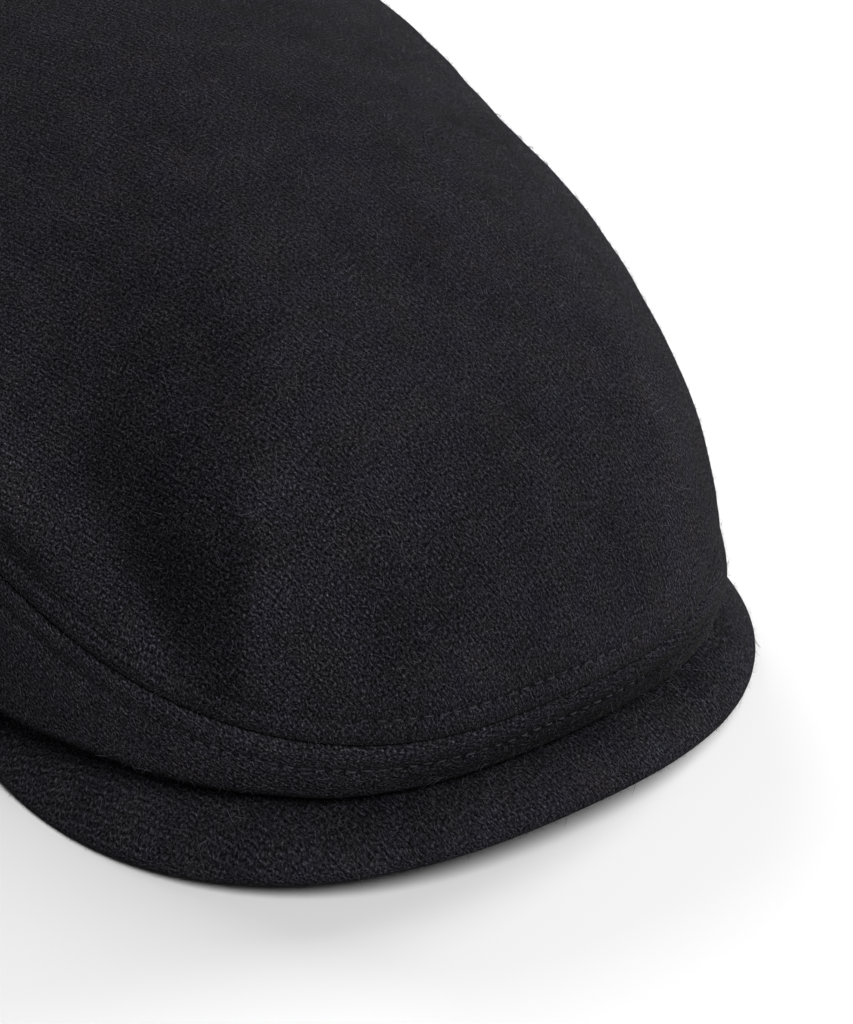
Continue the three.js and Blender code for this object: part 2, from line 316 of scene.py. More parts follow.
wool = {
    "cool": "#151519", "warm": "#161517",    # the milled face, black dyed, in patches of two casts
    "fibre": "#313138",       # loose fibres on the face
    "hole": "#040405",
    "contrast": 5.2,          # how much paler the tops are than the hollows, as a power of e
    "fleckLong": 0.7, "fleckWide": 0.42,     # mm
    "rowPitch": 1.25, "rowShare": 0.055,     # mm between twill lines, and how far they show
    "fineShare": 0.5, "fineSize": 0.34,     # mm
    "wander": 0.5, "wanderSize": 5,          # mm that the lines stray, and over which they do
    "hairLong": 2.4, "hairWide": 0.3,        # mm, the loose fibres that lie in the face
    "hairTurns": (18, 71, -40), "hairShows": (0.66, 0.8), "hairShare": 0.2,
    "patchSize": 16, "patchTone": (0.83, 1.17), "castSize": 9,     # mm
    "roughness": 0.95, "sheen": 0.02, "sheenRoughness": 0.4, "sheenTint": "#b9b8a8",
    "relief": 0.1,            # mm, from between the yarns to their tops
    "ribPitch": 1.3,          # mm between the small puckers along a sewn edge
    "ribStray": 22, "ribShare": 0.3,
    "stitchPitch": 3.35,      # mm, a stitch and its gap
    "stitchFromSeam": 6.2,    # mm
    "holeWide": 0.95, "holeFull": 0.35,      # mm from a needle hole's middle
    "holeDark": 0.5, "holeDeep": 1.2,
}


def meltonCloth(name, twillTurn, tone=1.0, ribsTo=3.6, ribs=0.7, holes=True):
    # Wool melton, twill woven and milled: a matt dark face where rows of soft floats show through
    # the nap, with loose fibres lying on it and a pale rim of nap at grazing angles.
    material = bpy.data.materials.new(name)
    material.use_nodes = True
    shader = material.node_tree.nodes["Principled BSDF"]
    flat = addNode(material, "ShaderNodeUVMap", uv_map="clothFlat").outputs[0]
    edge = addNode(material, "ShaderNodeUVMap", uv_map="edgeFlat").outputs[0]

    stray = clothNoise(material, flat, 1 / (wool["wanderSize"] * mm), 2).outputs["Color"]
    stray = vectorCalc(material, "SUBTRACT", stray, (0.5, 0.5, 0.5))
    strayed = vectorCalc(material, "ADD", flat, scaled(material, stray, 2 * wool["wander"] * mm))

    # rows of floats: flecks drawn out along the twill line, gathered in rows and broken up by the nap
    turned = addNode(material, "ShaderNodeMapping", {
        "Vector": strayed, "Rotation": (0, 0, math.radians(twillTurn))}).outputs[0]
    drawn = vectorCalc(material, "MULTIPLY", turned,
                       (1 / (wool["fleckLong"] * mm), 1 / (wool["fleckWide"] * mm), 1))
    flecks = clothNoise(material, drawn, 1, 1).outputs[0]
    acrossRows = addNode(material, "ShaderNodeSeparateXYZ", {"Vector": turned}).outputs[1]
    rowPhase = calc(material, "MULTIPLY", acrossRows, 2 * math.pi / (wool["rowPitch"] * mm))
    fleck = calc(material, "MULTIPLY_ADD", calc(material, "SINE", rowPhase), wool["rowShare"], flecks)
    fine = clothNoise(material, flat, 1 / (wool["fineSize"] * mm), 1).outputs[0]
    knots = calc(material, "MULTIPLY_ADD", fine, wool["fineShare"], fleck)

    # loose fibres, thin streaks lying in three directions
    streaks = None
    for turn, offset in zip(wool["hairTurns"], (0.0, 3.7, 7.1)):
        lay = addNode(material, "ShaderNodeMapping", {
            "Vector": strayed, "Rotation": (0, 0, math.radians(turn))}).outputs[0]
        lay = vectorCalc(material, "MULTIPLY_ADD", lay,
                         (1 / (wool["hairLong"] * mm), 1 / (wool["hairWide"] * mm), 1), (offset, offset, 0))
        hairs = clothNoise(material, lay, 1, 1).outputs[0]
        line = mapped(material, hairs, wool["hairShows"], (0, 1))
        streaks = line if streaks is None else calc(material, "MAXIMUM", streaks, line)

    patches = clothNoise(material, flat, 1 / (wool["patchSize"] * mm), 4, 0.65).outputs[0]
    # tone scales a copy's brightness all over; the peak's paler copy is painted light
    patchTone = mapped(material, patches, (0.3, 0.7), [t * tone for t in wool["patchTone"]])

    # small puckers square to a sewn edge, and the dark needle holes between stitches
    edgeXyz = addNode(material, "ShaderNodeSeparateXYZ", {"Vector": edge})
    along, fromEdge = edgeXyz.outputs[0], edgeXyz.outputs[1]
    ribPhase = calc(material, "MULTIPLY", along, 2 * math.pi / (wool["ribPitch"] * mm))
    ribPhase = calc(material, "MULTIPLY_ADD", patches, wool["ribStray"], ribPhase)
    ribWave = mapped(material, calc(material, "SINE", ribPhase), (-0.2, 1), (0, 1))
    ribMask = mapped(material, fromEdge, (ribsTo * mm, 0.4 * ribsTo * mm), (0, ribs), smooth=True)
    ribTops = calc(material, "MULTIPLY", ribWave, ribMask)
    pitch = wool["stitchPitch"] * mm
    holeAlong = calc(material, "FRACT", calc(material, "MULTIPLY", along, 1 / pitch))
    holeAlong = calc(material, "MULTIPLY_ADD", holeAlong, pitch, -0.5 * pitch)
    holeAcross = calc(material, "ADD", fromEdge, -wool["stitchFromSeam"] * mm)
    holePlace = addNode(material, "ShaderNodeCombineXYZ", {"X": holeAlong, "Y": holeAcross}).outputs[0]
    holePlace = addNode(material, "ShaderNodeVectorMath", {0: holePlace}, operation="LENGTH").outputs["Value"]
    hole = mapped(material, holePlace, (wool["holeWide"] * mm, wool["holeFull"] * mm),
                  (0, wool["holeDark"] if holes else 0), smooth=True)

    def trait(name):
        return addNode(material, "ShaderNodeAttribute", attribute_name=name).outputs["Fac"]

    hole = calc(material, "MULTIPLY", hole, trait("stitchShows"))
    tops = calc(material, "MULTIPLY_ADD", ribTops, wool["ribShare"], knots)
    light = calc(material, "MULTIPLY_ADD", tops, wool["contrast"],
                 -wool["contrast"] * (0.5 + 0.5 * wool["fineShare"]))
    light = calc(material, "EXPONENT", calc(material, "MULTIPLY", light, trait("weaveShows")))
    # the pieces' tone attribute darkens the colour here: painted shade on the crown's flank, under the band's
    # roll and on the peak beside it
    light = calc(material, "MULTIPLY", calc(material, "MULTIPLY", light, patchTone), trait("napTone"))
    casts = clothNoise(material, strayed, 1 / (wool["castSize"] * mm), 4, 0.7).outputs[0]
    casts = mapped(material, casts, (0.35, 0.65), (0, 1))
    face = mixed(material, casts, linear(wool["warm"]), linear(wool["cool"]))
    haired = mixed(material, calc(material, "MULTIPLY", streaks, wool["hairShare"]),
                   scaled(material, face, light), linear(wool["fibre"]))
    holed = mixed(material, hole, haired, linear(wool["hole"]))
    material.node_tree.links.new(holed, shader.inputs["Base Color"])

    height = calc(material, "MULTIPLY_ADD", hole, -wool["holeDeep"], calc(material, "MULTIPLY", tops, 2))
    relief = addNode(material, "ShaderNodeBump", {
        "Height": height, "Distance": wool["relief"] * mm, "Strength": 0.8})
    material.node_tree.links.new(relief.outputs[0], shader.inputs["Normal"])

    shader.inputs["Roughness"].default_value = wool["roughness"]
    shader.inputs["Specular IOR Level"].default_value = 0.0
    shader.inputs["Sheen Weight"].default_value = wool["sheen"]
    shader.inputs["Sheen Roughness"].default_value = wool["sheenRoughness"]
    shader.inputs["Sheen Tint"].default_value = linear(wool["sheenTint"])
    return material


def fibreMaterial(name, colour, sheen):
    # Spun polyester thread and loose wool: soft, a little paler than the cloth, uneven along its length
    material = bpy.data.materials.new(name)
    material.use_nodes = True
    shader = material.node_tree.nodes["Principled BSDF"]
    place = addNode(material, "ShaderNodeTexCoord").outputs["Object"]
    twist = addNode(material, "ShaderNodeTexNoise", {"Vector": place, "Scale": 1 / (1.5 * mm), "Detail": 2})
    base = addNode(material, "ShaderNodeRGB")
    base.outputs[0].default_value = linear(colour)
    toned = scaled(material, base.outputs[0], mapped(material, twist.outputs[0], (0.3, 0.7), (0.6, 1.3)))
    material.node_tree.links.new(toned, shader.inputs["Base Color"])
    shader.inputs["Roughness"].default_value = 0.8
    shader.inputs["Specular IOR Level"].default_value = 0.1
    shader.inputs["Sheen Weight"].default_value = sheen
    return material


crownMelton = meltonCloth("blackWoolMeltonCrown", 70, ribs=0.12, ribsTo=3.0)
bandMelton = meltonCloth("blackWoolMeltonBand", 20, ribs=0.25, ribsTo=4.0)
# painted light: the peak's copy of the cloth is made a tenth paler than the crown's and band's
peakMelton = meltonCloth("blackWoolMeltonPeak", 70, tone=1.1, ribs=0.0, holes=False)
threadBlack = fibreMaterial("blackSpunThread", "#27262b", 0.02)
woolFibre = fibreMaterial("looseWoolFibre", "#333239", 0.02)
print("materials made")

# The stitches' size in mm, and where each row shows: elsewhere the nap has closed over it

stitch = {
    "length": 2.1, "thick": 0.48, "proud": 0.18, "sunk": 0.3,
    "buried": 0.6,            # mm deeper where the nap has closed over the row
    "lengthVaries": (0.78, 1.12), "thickVaries": (0.75, 1.12), "strays": 0.16,
    "crownShows": (-12, 5), "bandShows": (-27, 5),      # bearings from and to
    "fade": 7,                # degrees
    "holesLeft": 0.3,         # share of the needle holes' depth left where the row doesn't show
}


def stitchShare(bearing, shows):
    # 1 where a row of stitches shows, 0 where it doesn't
    beyond = max(shows[0] - bearing, bearing - shows[1], 0) / stitch["fade"]
    return 1 - min(beyond, 1)


def holesShow(bearing, shows):
    return stitch["holesLeft"] + (1 - stitch["holesLeft"]) * stitchShare(bearing, shows)


# Loose fibres of the nap: thin curved strips rooted all over a cloth's outside, sizes in mm

nap = {
    "long": (0.7, 2.0), "wide": (0.035, 0.07),
    "strayShare": 0.05, "strayLong": (2.2, 4.6), "strayWide": (0.07, 0.1),
    "standingShare": 0.75, "standingRise": (0.4, 1.1), "lyingRise": (0.03, 0.16),
    "curl": 0.5, "sunk": 0.04, "tip": 0.3, "hiddenShare": 0.1,
}


def looseFibres(name, piece, count, seed, lowest=-0.35):
    mesh = piece.data
    mesh.calc_loop_triangles()
    corners = np.empty(len(mesh.loop_triangles) * 3, dtype=np.int32)
    mesh.loop_triangles.foreach_get("vertices", corners)
    places, normals = np.empty(len(mesh.vertices) * 3), np.empty(len(mesh.vertices) * 3)
    mesh.vertices.foreach_get("co", places)
    mesh.vertices.foreach_get("normal", normals)
    corners = corners.reshape(-1, 3)
    places, normals = places.reshape(-1, 3)[corners], normals.reshape(-1, 3)[corners]
    areas = np.linalg.norm(np.cross(places[:, 1] - places[:, 0], places[:, 2] - places[:, 0]), axis=1)
    areas[normals.mean(1)[:, 2] < lowest] *= nap["hiddenShare"]
    picks = np.random.default_rng(seed)
    chosen = picks.choice(len(areas), count, p=areas / areas.sum())
    share = np.sort(picks.random((count, 2)), axis=1)
    weights = np.stack([share[:, 0], share[:, 1] - share[:, 0], 1 - share[:, 1]], -1)[:, :, None]
    root = (places[chosen] * weights).sum(1)
    up = (normals[chosen] * weights).sum(1)
    up /= np.linalg.norm(up, axis=1)[:, None]
    heading = picks.normal(size=(count, 3))
    heading -= up * (heading * up).sum(1)[:, None]
    heading /= np.linalg.norm(heading, axis=1)[:, None]
    side = np.cross(up, heading)

    def sizes(which, first, second):
        return np.where(which, picks.uniform(*nap[first], count), picks.uniform(*nap[second], count)) * mm

    stray = picks.random(count) < nap["strayShare"]
    length = sizes(stray, "strayLong", "long")
    standing = picks.random(count) < nap["standingShare"]
    rise = sizes(standing, "standingRise", "lyingRise")
    curl = picks.uniform(-nap["curl"], nap["curl"], count)
    width = sizes(stray, "strayWide", "wide")
    flatness = np.where(standing, picks.uniform(-1, 1, count), 0)[:, None]
    strip = side * (1 - np.abs(flatness)) + up * flatness
    rings = []
    for step in np.linspace(0, 1, 4):
        lift = np.where(standing, step ** 1.5, math.sin(math.pi * step)) * rise
        centre = (root + heading * (length * step)[:, None] + side * (length * curl * step ** 2)[:, None]
                  + up * (lift - nap["sunk"] * mm)[:, None])
        half = strip * (width / 2 * (1 if step < 1 else nap["tip"]))[:, None]
        rings += [centre - half, centre + half]
    points = np.stack(rings, 1).reshape(-1, 3)
    points[:, 2] = np.maximum(points[:, 2], 0)
    one = np.array([[0, 1, 3, 2], [2, 3, 5, 4], [4, 5, 7, 6]])
    faces = (one[None] + 8 * np.arange(count)[:, None, None]).reshape(-1, 4)
    fibreMesh = bpy.data.meshes.new(name)
    fibreMesh.from_pydata(points.tolist(), [], faces.tolist())
    fibres = bpy.data.objects.new(name, fibreMesh)
    scene.collection.objects.link(fibres)
    finishPiece(fibres, woolFibre)


# Stitches: one is modelled, and each copy is bent along the cloth and joined to the rest

def stitchPlace(placesOf, length):
    # a place on the row of stitches in a cloth, and which way is outward there
    bearing = seamBearing(length)
    places, _, _, _, outward = placesOf(bearing, np.array([wool["stitchFromSeam"]]))
    turn = math.radians(bearing)
    return places[0], (outward[0, 0] * math.sin(turn), -outward[0, 0] * math.cos(turn), outward[0, 1])


def stitchRow(name, placesOf, shows):
    bpy.ops.mesh.primitive_uv_sphere_add(segments=7, ring_count=6, radius=0.5, rotation=(0, math.pi / 2, 0))
    model = bpy.context.object
    bpy.ops.object.transform_apply(location=True, rotation=True, scale=True)
    shape = np.empty(len(model.data.vertices) * 3)
    model.data.vertices.foreach_get("co", shape)
    shape = shape.reshape(-1, 3)
    picks = np.random.default_rng(stitchCount)
    copies = []
    quarters = (0, 0.25, 0.5, 0.75, 1)
    for start in stitchStarts:
        copy = model.copy()
        copy.data = model.data.copy()
        scene.collection.objects.link(copy)
        length = stitch["length"] * picks.uniform(*stitch["lengthVaries"])
        thick = stitch["thick"] * picks.uniform(*stitch["thickVaries"])
        stray = picks.uniform(-stitch["strays"], stitch["strays"])
        samples = np.array([stitchPlace(placesOf, start + (q - 0.5) * length) for q in quarters])
        share = shape[:, 0] + 0.5
        spots, ups = [np.stack([np.interp(share, quarters, samples[:, n, k]) for k in range(3)], -1)
                      for n in (0, 1)]
        along = samples[4, 0] - samples[0, 0]
        along /= np.linalg.norm(along)
        sides = np.cross(ups, along)
        lift = (stitch["proud"] - stitch["buried"] * (1 - stitchShare(seamBearing(start), shows))
                - stitch["sunk"] * (2 * shape[:, 0]) ** 4)
        made = (spots + ups * ((lift + shape[:, 2] * thick) * mm)[:, None]
                + sides * ((shape[:, 1] * thick + stray) * mm)[:, None])
        copy.data.vertices.foreach_set("co", made.ravel())
        copies.append(copy)
    bpy.data.objects.remove(model)
    bpy.ops.object.select_all(action="DESELECT")
    for copy in copies:
        copy.select_set(True)
    bpy.context.view_layer.objects.active = copies[0]
    bpy.ops.object.join()
    row = bpy.context.object
    row.name = name
    finishPiece(row, threadBlack)


stitchCount = int(seamAround / wool["stitchPitch"])
stitchStarts = [wool["stitchPitch"] * (i - stitchCount // 2) for i in range(stitchCount)]
columnBearings = [bearingAt(s) for s in np.linspace(-1, 1, cap["columns"] + 1)]


def sewnPiece(name, napName, placesOf, material, node, fibres, seed):
    # crown or band: its section at each bearing, laid on a grid, with its nap and its wall
    made = [placesOf(b) for b in columnBearings]
    piece = clothGrid(name, cap["columns"], len(made[0][0]) - 1,
                      *[np.stack([m[k] for m in made], 1) for k in range(3)],
                      {trait: np.stack([m[3][trait] for m in made], 1) for trait in made[0][3]})
    mergeDoubles(piece)
    turnOutwards(piece, insideCap)
    looseFibres(napName, piece, fibres, seed)
    bpy.context.view_layer.objects.active = piece
    piece.select_set(True)
    wall = piece.modifiers.new("wall", "SOLIDIFY")
    wall.thickness = cap["cloth"] * mm
    wall.offset = -1
    bpy.ops.object.modifier_apply(modifier=wall.name)
    finishPiece(piece, material, node)


# Crown: the top panel, whose edge is turned in at the seam and held by a row of stitches

crown = {
    "rows": 78,
    "nearSeam": (0, 0.35, 0.8, 1.4, 2.1, 3, 4, 5, 5.7, 6.2, 6.7, 7.4, 8.4, 9.8),   # mm up from the seam
    "edgeRadius": 1.8, "edgeDepth": 0.9,
    "puff": 0.55, "puffAt": 3.4, "puffWidth": 2.4,
    "valley": 0.55, "valleyWidth": 1.0,
    "uneven": 0.16, "unevenOver": (14, 46), "unevenFrom": 8,     # mm
    "foldFrom": 11,           # mm over the seam where the fold has its full depth
    "dentsFrom": 1 / 7,       # share of the way up from which the dents have theirs
    "steps": 160,
}

# Dents, and swells where deep is negative; at is the bearing of the middle, up its share of the way
# to the top, turn its lean in degrees; long, wide and deep are shares of crownHeight
dents = [
    {"at": -42, "up": 0.06, "turn": 90, "long": 0.17, "wide": 0.04, "deep": 0.032},
    {"at": -10, "up": 0.2, "turn": 25, "long": 0.16, "wide": 0.09, "deep": 0.012},
    {"at": 21, "up": 0.16, "turn": 0, "long": 0.12, "wide": 0.1, "deep": 0.009},
    {"at": 62, "up": 0.3, "turn": -20, "long": 0.3, "wide": 0.14, "deep": 0.02},
    {"at": 128, "up": 0.34, "turn": 18, "long": 0.3, "wide": 0.15, "deep": 0.022},
    {"at": -112, "up": 0.33, "turn": 12, "long": 0.32, "wide": 0.14, "deep": 0.022},
    {"at": 176, "up": 0.5, "turn": 80, "long": 0.3, "wide": 0.12, "deep": 0.016},
]

# The main fold at the left of the front: a crest by height, and the valley to its left
frontFold = {
    "height": (36, 42, 50, 58, 66, 76, 86, 97, 110, 122),
    "crest": (-24.3, -24.3, -24.3, -24, -23.4, -22.5, -21.6, -20.6, -19.6, -18.8),
    "valley": (-27.5, -28.3, -30.2, -31.8, -33.4, -35.8, -38.4, -40, -41, -41),
    "deep": (0, 2, 5.2, 7.6, 8.8, 8.8, 6.8, 4, 1.5, 0),
    "crestRise": (0, 0.6, 1.4, 1.9, 2.1, 2, 1.4, 0.8, 0.3, 0),
    "fallPower": 0.8, "farSide": 1.3,         # the flank's form, and the far side's width as a share of it
    "crestSpread": 13, "crestPower": 1.2,     # mm to the right over which the crest runs out
}


def byHeight(table, column, z):
    return np.interp(z, table["height"], table[column])


def leaned(sideways, upwards, spot, size=1):
    # distances across and along a dent or patch, as shares of its width and length
    turn = math.radians(spot["turn"])
    return ((sideways * math.cos(turn) - upwards * math.sin(turn)) / (spot["wide"] * size),
            (sideways * math.sin(turn) + upwards * math.cos(turn)) / (spot["long"] * size))


def foldDepth(bearing, z, r):
    crest, valley = byHeight(frontFold, "crest", z), byHeight(frontFold, "valley", z)
    deep, rise = byHeight(frontFold, "deep", z), byHeight(frontFold, "crestRise", z)
    left = np.clip((crest - bearing) / (crest - valley), 0, 3)
    right = np.maximum(np.radians(bearing - crest) * r, 0)
    beyond = np.clip((left - 1) / frontFold["farSide"], 0, 1)
    fall = np.where(left < 1, (1 - np.cos(math.pi * left ** frontFold["fallPower"])) / 2,
                    1 - beyond ** 2 * (3 - 2 * beyond))
    leftDepth = (deep + rise * (left < 1)) * fall - rise * (left < 1)
    rightDepth = -rise * np.exp(-(right / frontFold["crestSpread"]) ** frontFold["crestPower"])
    return np.where(bearing < crest, leftDepth, rightDepth)


# Painted shade: the cloth is darker all down the fold's flank, where shade falls; soft patches, whose at is
# the bearing of the middle, are darker, or paler where darker is negative; height, long and wide are in
# millimetres, turn in degrees from upright
flankShade = {
    "height": (38, 44, 52, 62, 70, 79, 90, 102, 112, 122),
    "darker": (0.08, 0.2, 0.34, 0.44, 0.44, 0.34, 0.24, 0.18, 0.1, 0),
    "crestWidth": (2.2, 2.2, 2.4, 2.8, 3.2, 6, 10, 13, 15, 15),    # mm to change over
    "stray": (0.2, 0.3, 0.5, 0.6, 0.8, 1, 1.5, 2, 2, 2),     # mm that this border wanders
    "strayOver": (2.3, 1.1),
    "valleyShare": 0.38,      # of the flank's width, over which it changes back
}
tonePatches = [
    {"at": -12.5, "height": 55, "turn": 40, "long": 22, "wide": 9, "darker": 0.28},
    {"at": -1, "height": 74, "turn": 30, "long": 16, "wide": 9, "darker": 0.16},
    {"at": -43, "height": 59, "turn": 78, "long": 24, "wide": 6, "darker": 0.12},
    {"at": -26, "height": 104, "turn": 10, "long": 18, "wide": 14, "darker": 0.14},
    {"at": 8, "height": 44, "turn": 80, "long": 34, "wide": 7, "darker": -0.22},
    {"at": -47, "height": 74, "turn": 20, "long": 20, "wide": 14, "darker": -0.18},
]


def paintedShadeTones(bearing, z, r):
    # painted shade down the fold's flank, times the soft darker or paler patches
    crest, valley = byHeight(frontFold, "crest", z), byHeight(frontFold, "valley", z)
    fromCrest = np.radians(crest - bearing) * r + byHeight(flankShade, "stray", z) * (
        np.sin(z / flankShade["strayOver"][0]) + 0.7 * np.sin(z / flankShade["strayOver"][1] + 1))
    flank = (crest - bearing) / (crest - valley)
    share = flankShade["valleyShare"]
    inside = (np.clip(fromCrest / byHeight(flankShade, "crestWidth", z) + 0.5, 0, 1)
              * np.clip((1 + share - flank) / (2 * share), 0, 1))
    inside = inside * inside * (3 - 2 * inside)
    tone = 1 - byHeight(flankShade, "darker", z) * inside
    for patch in tonePatches:
        u, v = leaned(np.radians(bearing - patch["at"]) * r, z - patch["height"], patch)
        tone = tone * (1 - patch["darker"] * np.exp(-u * u - v * v))
    return tone


# The weave shows most at the left of the front, and less where the nap is thick, to the right and above
weave = {"fullTo": -18, "softFrom": 7, "softRight": 0.76, "softAbove": 0.7, "heights": (80, 120)}


def weaveShare(bearing, z):
    toRight = np.clip((bearing - weave["fullTo"]) / (weave["softFrom"] - weave["fullTo"]), 0, 1)
    above = np.clip((z - weave["heights"][0]) / (weave["heights"][1] - weave["heights"][0]), 0, 1)
    return (1 - (1 - weave["softRight"]) * toRight) * (1 - (1 - weave["softAbove"]) * above)


def dentDepth(bearing, up, r, lineLength):
    depth = np.zeros(len(up))
    for dent in dents:
        apart = (bearing - dent["at"] + 180) % 360 - 180
        u, v = leaned(math.radians(apart) * r, (up - dent["up"]) * lineLength, dent, cap["crownHeight"])
        depth += dent["deep"] * cap["crownHeight"] * np.exp(-u * u - v * v)
    return depth


def crownLine(bearing):
    # the smooth line from the seam to the middle of the top, with its lengths and dents worked in
    steps = np.linspace(0, 1, crown["steps"] + 1)
    r, z = seamRadius(bearing), seamUp(bearing)
    lean = math.radians(across(crownRises, "lean", bearing))
    climb = across(crownRises, "rise", bearing) * (cap["crownHeight"] - z)
    corners = np.array([[r, z], [r + climb * math.sin(lean), z + climb * math.cos(lean)],
                        [r * across(crownRises, "reach", bearing), cap["crownHeight"]],
                        [0, cap["crownHeight"]]])
    t = steps[:, None]
    line = ((1 - t) ** 3 * corners[0] + 3 * t * (1 - t) ** 2 * corners[1]
            + 3 * t * t * (1 - t) * corners[2] + t ** 3 * corners[3])
    lengths = alongLine(line)
    normals = lineNormals(line)
    normals[-1] = (0, 1)
    depth = dentDepth(bearing, steps, line[:, 0], lengths[-1]) * np.minimum(1, steps / crown["dentsFrom"])
    depth += foldDepth(bearing, line[:, 1], line[:, 0]) * np.clip(lengths / crown["foldFrom"], 0, 1) ** 2
    return line - normals * depth[:, None], lengths, normals


def seamEdge(cloth, fromSeam):
    # how far the cloth, crown or band, stands out near the seam, in millimetres
    turned = np.clip(1 - fromSeam / cloth["edgeRadius"], 0, 1)
    return (-cloth["edgeDepth"] * (1 - np.sqrt(1 - turned ** 2))
            + cloth["puff"] * bump(fromSeam, cloth["puffAt"], cloth["puffWidth"])
            - cloth["valley"] * bump(fromSeam, wool["stitchFromSeam"], cloth["valleyWidth"]))


def crownPlaces(bearing, at=None):
    line, lengths, normals = crownLine(bearing)
    if at is None:
        near = np.array(crown["nearSeam"])
        at = np.concatenate([near, np.linspace(near[-1], lengths[-1], crown["rows"] + 2 - len(near))[1:]])
    spots = resample(line, lengths, at)
    outward = closedAtSeam(resample(normals, lengths, at), bearing, at)
    ground = lengths[-1] - at
    u, v = ground * math.sin(math.radians(bearing)), ground * math.cos(math.radians(bearing))
    out = seamEdge(crown, at) + (crown["uneven"] * unevenness(5, u, v, *crown["unevenOver"])
                                 * np.clip(at / crown["unevenFrom"], 0, 1))
    spots = spots + outward * out[:, None]
    spots[:, 0] = np.maximum(spots[:, 0], 0)
    # the flat cloth keeps its area, so that the weave runs on evenly
    radii = np.interp(at, lengths, line[:, 0])
    swept = np.concatenate([[0], np.cumsum(0.5 * (line[1:, 0] + line[:-1, 0]) * np.diff(lengths))])
    flatRadius = np.sqrt(np.maximum(2 * (swept[-1] - np.interp(at, lengths, swept)), 0))
    flat = np.stack([flatRadius * math.sin(math.radians(bearing)),
                     -flatRadius * math.cos(math.radians(bearing))], -1)
    edge = np.stack([np.full(len(at), seamLength(bearing)), at], -1)
    # the tone attribute carries the painted shade on the fold's flank
    traits = {"napTone": paintedShadeTones(bearing, spots[:, 1], radii),
              "weaveShows": weaveShare(bearing, spots[:, 1]),
              "stitchShows": np.full(len(at), holesShow(bearing, stitch["crownShows"]))}
    return inRow(spots[:, 0], spots[:, 1], bearing), flat, edge, traits, outward


sewnPiece("crownTop", "crownNap", crownPlaces, crownMelton, "crown_top", 32000, 11)
stitchRow("crownStitches", crownPlaces, stitch["crownShows"])
print("crown made")

# Side band: tucked under from the head opening, rolled at its lower edge and sewn to the crown above

band = {
    "tuckSteps": 40, "rollSteps": 24, "panelSteps": 80,
    "tuckRows": 18, "rollRows": 9, "panelRows": 22,
    "nearSeam": (9.8, 8.4, 7.4, 6.7, 6.2, 5.7, 5, 4, 3, 2.1, 1.4, 0.8, 0.35, 0),   # mm down from the seam
    "edgeRadius": 1.4, "edgeDepth": 0.9,
    "puff": 0.45, "puffAt": 2.8, "puffWidth": 1.9,
    "valley": 0.6, "valleyWidth": 1.1,
    "uneven": 0.14, "unevenOver": (12, 40), "unevenFrom": 6,     # mm
    # painted shade: the roll's underside, facing down, is darker, by bearing
    "rollAt": (-120, -60, 0, 30), "rollShadeDarker": (0.3, 0.62, 0.62, 0.3),
    "rollFrom": 0.3,          # the outward direction's rise at which that starts
}


def rollSection(bearing):
    # the opening's rim, the roll's middle, and the turn at which the tuck runs into the roll
    low = cap["openingFrontHeight"] * across(rounds, "roll", bearing)
    rim = np.array([openingRadius(bearing), openingUp(bearing)])
    middle = np.array([rollRadiusOut(bearing) - cap["rollRadius"], low + cap["rollRadius"]])
    return rim, middle, -math.pi / 2 - math.atan2(rim[1] - low, middle[0] - rim[0])


def bandLine(bearing):
    # tuck, roll and panel as three lines, each finely stepped
    rim, middle, rollStart = rollSection(bearing)
    seam = np.array([seamRadius(bearing), seamUp(bearing)])
    turns = rollStart * (1 - np.linspace(0, 1, band["rollSteps"] + 1))
    roll = middle + cap["rollRadius"] * np.stack([np.cos(turns), np.sin(turns)], -1)
    tuck = rim + (roll[0] - rim) * np.linspace(0, 1, band["tuckSteps"] + 1)[:, None]
    swell = (roll[-1] + seam) / 2 + np.array([cap["bellySwell"], 0])
    t = np.linspace(0, 1, band["panelSteps"] + 1)[:, None]
    panel = (1 - t) ** 2 * roll[-1] + 2 * t * (1 - t) * swell + t * t * seam
    return tuck, roll, panel


def bandPlaces(bearing, fromSeam=None):
    tuck, roll, panel = bandLine(bearing)
    line = np.concatenate([tuck, roll[1:], panel[1:]])
    lengths = alongLine(line)
    normals = lineNormals(line)
    tuckEnd, rollEnd = lengths[band["tuckSteps"]], lengths[band["tuckSteps"] + band["rollSteps"]]
    if fromSeam is None:
        near = lengths[-1] - np.array(band["nearSeam"])
        at = np.concatenate([
            np.linspace(0, tuckEnd, band["tuckRows"] + 1),
            np.linspace(tuckEnd, rollEnd, band["rollRows"] + 1)[1:],
            np.linspace(rollEnd, near[0], band["panelRows"] + 1)[1:], near[1:]])
    else:
        at = lengths[-1] - fromSeam
    down = lengths[-1] - at
    u = seamLength(bearing)
    inside = np.clip(at / band["unevenFrom"], 0, 1) * np.clip(down / band["unevenFrom"], 0, 1)
    out = seamEdge(band, down) + band["uneven"] * unevenness(9, u, down, *band["unevenOver"]) * inside
    spots = resample(line, lengths, at)
    outward = closedAtSeam(resample(normals, lengths, at), bearing, down)
    spots = spots + outward * out[:, None]
    flat = np.stack([np.full(len(at), u), -down], -1)
    edge = np.stack([np.full(len(at), u), down], -1)
    # painted shade: darker where the roll's outward direction turns down
    darker = np.interp(bearing, band["rollAt"], band["rollShadeDarker"])
    traits = {"napTone": 1 - darker * np.clip(band["rollFrom"] - outward[:, 1], 0, 1),
              "weaveShows": np.full(len(at), weaveShare(bearing, 0)),
              "stitchShows": np.full(len(at), holesShow(bearing, stitch["bandShows"]))}
    return inRow(spots[:, 0], spots[:, 1], bearing), flat, edge, traits, outward


sewnPiece("sideBand", "bandNap", bandPlaces, bandMelton, "side_band", 17000, 12)
stitchRow("bandStitches", bandPlaces, stitch["bandShows"])
print("side band made")

# Peak: a stiff board in cloth, with a soft round edge where its upper and under cloths are sewn

